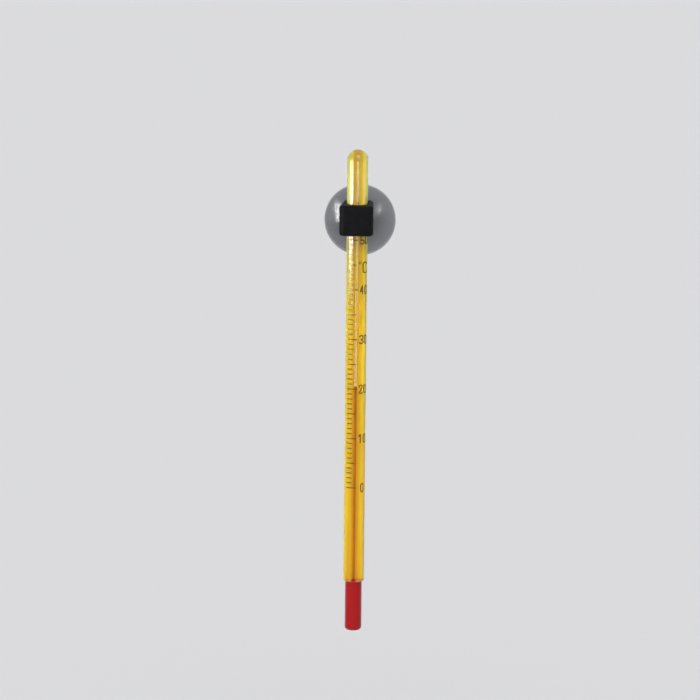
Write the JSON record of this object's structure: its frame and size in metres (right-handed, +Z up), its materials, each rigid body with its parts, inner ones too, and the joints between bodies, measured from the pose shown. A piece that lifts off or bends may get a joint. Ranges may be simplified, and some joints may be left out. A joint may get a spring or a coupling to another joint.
{
  "type": "glass aquarium thermometer",
  "caption": "Slim glass stem thermometer with a red spirit bulb and printed Celsius scale, held upright by a rubber collar on a suction cup.",
  "frame": {"origin": "centre of the suction cup's rim, in the plane that meets the aquarium wall", "axes": "+Z up along the glass stem, +Y into the wall, the scale faces -Y"},
  "size_m": [0.0204, 0.0142, 0.1384],
  "materials": {
    "cup_rubber": "satin",
    "collar_rubber": "satin",
    "clear_glass": "polished",
    "yellow_enamel": "gloss",
    "red_spirit": "polished",
    "scale_ink": "matte"
  },
  "bodies": {
    "cup": {"suction_cup": "cup_rubber"},
    "collar": {"holder_collar": "collar_rubber"},
    "spirit_charge": {"bulb_spirit": "red_spirit", "spirit_column": "red_spirit"},
    "stem": {"stem_glass": "clear_glass", "bulb_glass": "clear_glass", "enamel_backing": "yellow_enamel", "degree_marks": "scale_ink", "five_degree_marks": "scale_ink", "ten_degree_marks": "scale_ink", "numeral_0": "scale_ink", "numeral_10": "scale_ink", "numeral_20": "scale_ink", "numeral_30": "scale_ink", "numeral_40": "scale_ink", "numeral_50": "scale_ink", "unit_mark": "scale_ink"},
    "spirit_top": {"spirit_meniscus": "red_spirit"}
  },
  "joints": [
    {"name": "collar_swivel", "type": "hinge", "parent": "cup", "child": "collar", "pos_m": [0, -0.0049, 0], "axis": [0, 1, 0], "continuous": true},
    {"name": "stem_slide", "type": "slide", "parent": "collar", "child": "spirit_charge", "axis": [0, 0, 1], "range_m": [-0.0125, 0.095]},
    {"name": "stem_turn", "type": "hinge", "parent": "spirit_charge", "child": "stem", "pos_m": [0, -0.0095, 0], "axis": [0, 0, 1], "continuous": true},
    {"name": "spirit_rise", "type": "slide", "parent": "spirit_charge", "child": "spirit_top", "axis": [0, 0, 1], "range_m": [-0.0289, 0.0423], "deforming": ["spirit_column"]}
  ]
}
